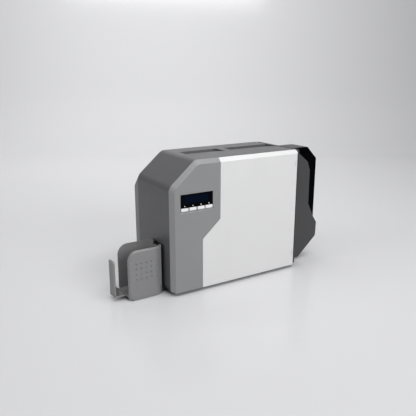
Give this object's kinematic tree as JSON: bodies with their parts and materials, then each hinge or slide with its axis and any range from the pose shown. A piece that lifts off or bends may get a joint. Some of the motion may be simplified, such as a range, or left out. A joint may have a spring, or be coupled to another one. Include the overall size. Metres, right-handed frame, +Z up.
{
  "type": "id card printer",
  "caption": "Desktop card printer: chamfered case with hinged side door, display and keys, card hopper with hinged cover, hang-on output hopper, card path inside.",
  "frame": {"origin": "centre of the footprint on the table, under the feet and the output hopper", "axes": "+Z up, -Y is the side with the door and the display, +X from the output hopper towards the input hopper"},
  "size_m": [0.6529, 0.2418, 0.3467],
  "materials": {
    "dark_shell": "fine grained",
    "light_shell": "fine grained",
    "panel_grey": "satin",
    "door_white": "satin",
    "charcoal": "satin",
    "hopper_grey": "fine grained",
    "smoked_cover": "high gloss",
    "window_black": "high gloss",
    "screen": "lit screen",
    "key_white": "satin",
    "black_plastic": "fine grained",
    "foot_rubber": "matte",
    "roller_rubber": "ground",
    "pinch_steel": "ground",
    "tacky_blue": "tacky",
    "backup_red": "silicone",
    "sheet_steel": "zinc plated",
    "motor_black": "satin",
    "magnet_grey": "matte",
    "bush_bronze": "sintered",
    "belt_black": "moulded",
    "board_green": "solder mask",
    "film_clear": "wound film",
    "ribbon_dark": "wound ribbon",
    "head_alloy": "machined",
    "pulley_alloy": "machined",
    "weight_steel": "satin",
    "gear_acetal": "moulded"
  },
  "bodies": {
    "case": {"base_pan": "charcoal", "rubber_feet": "foot_rubber", "mid_shell": "dark_shell", "rear_cover": "light_shell", "display_panel": "panel_grey", "display_window": "window_black", "lcd_module": "screen", "key_board": "board_green", "door_magnet": "magnet_grey", "hinge_brackets": "door_white", "hinge_pins": "pinch_steel", "end_frame": "charcoal", "hopper_housing": "charcoal", "hopper_bracket": "black_plastic", "chassis_plate": "sheet_steel", "path_front_plate": "sheet_steel", "frame_spacers": "pinch_steel", "inner_cover": "black_plastic", "card_guides": "black_plastic", "shaft_bearings": "bush_bronze", "stepper_motors": "motor_black", "drive_belt": "belt_black", "film_cassette": "black_plastic", "ribbon_cassette": "black_plastic", "main_board": "board_green", "power_supply": "sheet_steel", "cooling_fan": "black_plastic", "power_unit": "black_plastic", "data_sockets": "sheet_steel", "case_screws": "pinch_steel"},
    "side_door": {"side_door": "door_white", "door_strike": "pinch_steel"},
    "flipper": {"flipper_frame": "black_plastic"},
    "button_1": {"button_1": "key_white"},
    "button_2": {"button_2": "key_white"},
    "button_3": {"button_3": "key_white"},
    "button_4": {"button_4": "key_white"},
    "hopper_cover": {"hopper_cover": "smoked_cover"},
    "card_weight": {"card_weight": "weight_steel"},
    "output_hopper": {"output_hopper": "hopper_grey"},
    "pickup_roller": {"pickup_roller": "roller_rubber"},
    "pickup_pinion": {"pickup_pinion": "gear_acetal"},
    "entry_roller": {"entry_roller": "roller_rubber"},
    "entry_pinch_roller": {"entry_pinch_roller": "pinch_steel"},
    "cleaning_roller": {"cleaning_roller": "tacky_blue"},
    "mid_roller": {"mid_roller": "roller_rubber"},
    "mid_pinch_roller": {"mid_pinch_roller": "pinch_steel"},
    "backup_roller": {"backup_roller": "backup_red"},
    "heat_roller": {"heat_roller": "pinch_steel"},
    "flipper_roller_lower": {"flipper_roller_lower": "roller_rubber"},
    "flipper_roller_upper": {"flipper_roller_upper": "roller_rubber"},
    "motor_pulley": {"motor_pulley": "pulley_alloy"},
    "film_supply_spool": {"film_supply_spool": "film_clear"},
    "film_takeup_spool": {"film_takeup_spool": "film_clear"},
    "ribbon_supply_spool": {"ribbon_supply_spool": "ribbon_dark"},
    "ribbon_takeup_spool": {"ribbon_takeup_spool": "ribbon_dark"},
    "platen_roller": {"platen_roller": "roller_rubber"},
    "print_head": {"print_head": "head_alloy"},
    "fan_rotor": {"fan_rotor": "black_plastic"},
    "power_rocker": {"power_rocker": "black_plastic"}
  },
  "joints": [
    {"name": "side_door_hinge", "type": "hinge", "parent": "case", "child": "side_door", "pos_m": [0.2002, -0.11595, 0.17], "axis": [0, 0, 1], "range_deg": [0, 110]},
    {"name": "hopper_cover_hinge", "type": "hinge", "parent": "case", "child": "hopper_cover", "pos_m": [0.3115, -0.04645, 0.121], "axis": [0, 1, 0], "range_deg": [0, 80]},
    {"name": "card_weight_lift", "type": "slide", "parent": "case", "child": "card_weight", "axis": [0, 0, 1], "range_m": [0, 0.15]},
    {"name": "output_hopper_lift", "type": "slide", "parent": "case", "child": "output_hopper", "axis": [0, 0, 1], "range_m": [0, 0.02]},
    {"name": "button_1_press", "type": "slide", "parent": "case", "child": "button_1", "axis": [0, 1, 0], "range_m": [0, 0.001], "stiffness_N_per_m": 300, "springref_m": -0.0005},
    {"name": "button_2_press", "type": "slide", "parent": "case", "child": "button_2", "axis": [0, 1, 0], "range_m": [0, 0.001], "stiffness_N_per_m": 300, "springref_m": -0.0005},
    {"name": "button_3_press", "type": "slide", "parent": "case", "child": "button_3", "axis": [0, 1, 0], "range_m": [0, 0.001], "stiffness_N_per_m": 300, "springref_m": -0.0005},
    {"name": "button_4_press", "type": "slide", "parent": "case", "child": "button_4", "axis": [0, 1, 0], "range_m": [0, 0.001], "stiffness_N_per_m": 300, "springref_m": -0.0005},
    {"name": "pickup_roller_spin", "type": "hinge", "parent": "case", "child": "pickup_roller", "pos_m": [0.2455, -0.04645, 0.1126], "axis": [0, 1, 0], "continuous": true},
    {"name": "pickup_pinion_spin", "type": "hinge", "parent": "case", "child": "pickup_pinion", "pos_m": [0.256, -0.04645, 0.09441], "axis": [0, 1, 0], "continuous": true},
    {"name": "entry_roller_spin", "type": "hinge", "parent": "case", "child": "entry_roller", "pos_m": [0.1835, -0.04645, 0.1156], "axis": [0, 1, 0], "continuous": true},
    {"name": "entry_pinch_roller_spin", "type": "hinge", "parent": "case", "child": "entry_pinch_roller", "pos_m": [0.1835, -0.04645, 0.1304], "axis": [0, 1, 0], "continuous": true},
    {"name": "cleaning_roller_spin", "type": "hinge", "parent": "case", "child": "cleaning_roller", "pos_m": [0.1495, -0.04645, 0.1334], "axis": [0, 1, 0], "continuous": true},
    {"name": "mid_roller_spin", "type": "hinge", "parent": "case", "child": "mid_roller", "pos_m": [-0.0445, -0.04645, 0.1156], "axis": [0, 1, 0], "continuous": true},
    {"name": "mid_pinch_roller_spin", "type": "hinge", "parent": "case", "child": "mid_pinch_roller", "pos_m": [-0.0445, -0.04645, 0.1304], "axis": [0, 1, 0], "continuous": true},
    {"name": "backup_roller_spin", "type": "hinge", "parent": "case", "child": "backup_roller", "pos_m": [0.0305, -0.04645, 0.1116], "axis": [0, 1, 0], "continuous": true},
    {"name": "heat_roller_spin", "type": "hinge", "parent": "case", "child": "heat_roller", "pos_m": [0.0305, -0.04645, 0.1444], "axis": [0, 1, 0], "continuous": true},
    {"name": "motor_pulley_spin", "type": "hinge", "parent": "case", "child": "motor_pulley", "pos_m": [0.1055, -0.04645, 0.062], "axis": [0, 1, 0], "continuous": true},
    {"name": "film_supply_spool_spin", "type": "hinge", "parent": "case", "child": "film_supply_spool", "pos_m": [0.0335, -0.04645, 0.292], "axis": [0, 1, 0], "continuous": true},
    {"name": "film_takeup_spool_spin", "type": "hinge", "parent": "case", "child": "film_takeup_spool", "pos_m": [-0.0105, -0.04645, 0.2176], "axis": [0, 1, 0], "continuous": true},
    {"name": "ribbon_supply_spool_spin", "type": "hinge", "parent": "case", "child": "ribbon_supply_spool", "pos_m": [0.1615, -0.04645, 0.3], "axis": [0, 1, 0], "continuous": true},
    {"name": "ribbon_takeup_spool_spin", "type": "hinge", "parent": "case", "child": "ribbon_takeup_spool", "pos_m": [0.1615, -0.04645, 0.2076], "axis": [0, 1, 0], "continuous": true},
    {"name": "platen_roller_spin", "type": "hinge", "parent": "case", "child": "platen_roller", "pos_m": [0.0855, -0.04645, 0.2548], "axis": [0, 1, 0], "continuous": true},
    {"name": "fan_rotor_spin", "type": "hinge", "parent": "case", "child": "fan_rotor", "pos_m": [0.0355, -0.04645, 0.08], "axis": [0, 1, 0], "continuous": true},
    {"name": "flipper_turn", "type": "hinge", "parent": "case", "child": "flipper", "pos_m": [-0.1245, -0.04645, 0.124], "axis": [0, 1, 0], "range_deg": [0, 180]},
    {"name": "flipper_roller_lower_spin", "type": "hinge", "parent": "flipper", "child": "flipper_roller_lower", "pos_m": [-0.1245, -0.04645, 0.1176], "axis": [0, 1, 0], "continuous": true},
    {"name": "flipper_roller_upper_spin", "type": "hinge", "parent": "flipper", "child": "flipper_roller_upper", "pos_m": [-0.1245, -0.04645, 0.1304], "axis": [0, 1, 0], "continuous": true},
    {"name": "print_head_press", "type": "hinge", "parent": "case", "child": "print_head", "pos_m": [0.1235, -0.04645, 0.2848], "axis": [0, 1, 0], "range_deg": [0, 5]},
    {"name": "power_rocker_tilt", "type": "hinge", "parent": "case", "child": "power_rocker", "pos_m": [0.1055, 0.11295, 0.044], "axis": [1, 0, 0], "range_deg": [0, 14]}
  ],
  "couplings": [
    {"joint": "pickup_pinion_spin", "follows": "pickup_roller_spin", "ratio": -2},
    {"joint": "entry_pinch_roller_spin", "follows": "entry_roller_spin", "ratio": -1.3333},
    {"joint": "mid_roller_spin", "follows": "entry_roller_spin", "ratio": 1},
    {"joint": "mid_pinch_roller_spin", "follows": "entry_roller_spin", "ratio": -1.3333},
    {"joint": "motor_pulley_spin", "follows": "entry_roller_spin", "ratio": 1},
    {"joint": "backup_roller_spin", "follows": "heat_roller_spin", "ratio": -1.6667},
    {"joint": "flipper_roller_upper_spin", "follows": "flipper_roller_lower_spin", "ratio": -1}
  ]
}
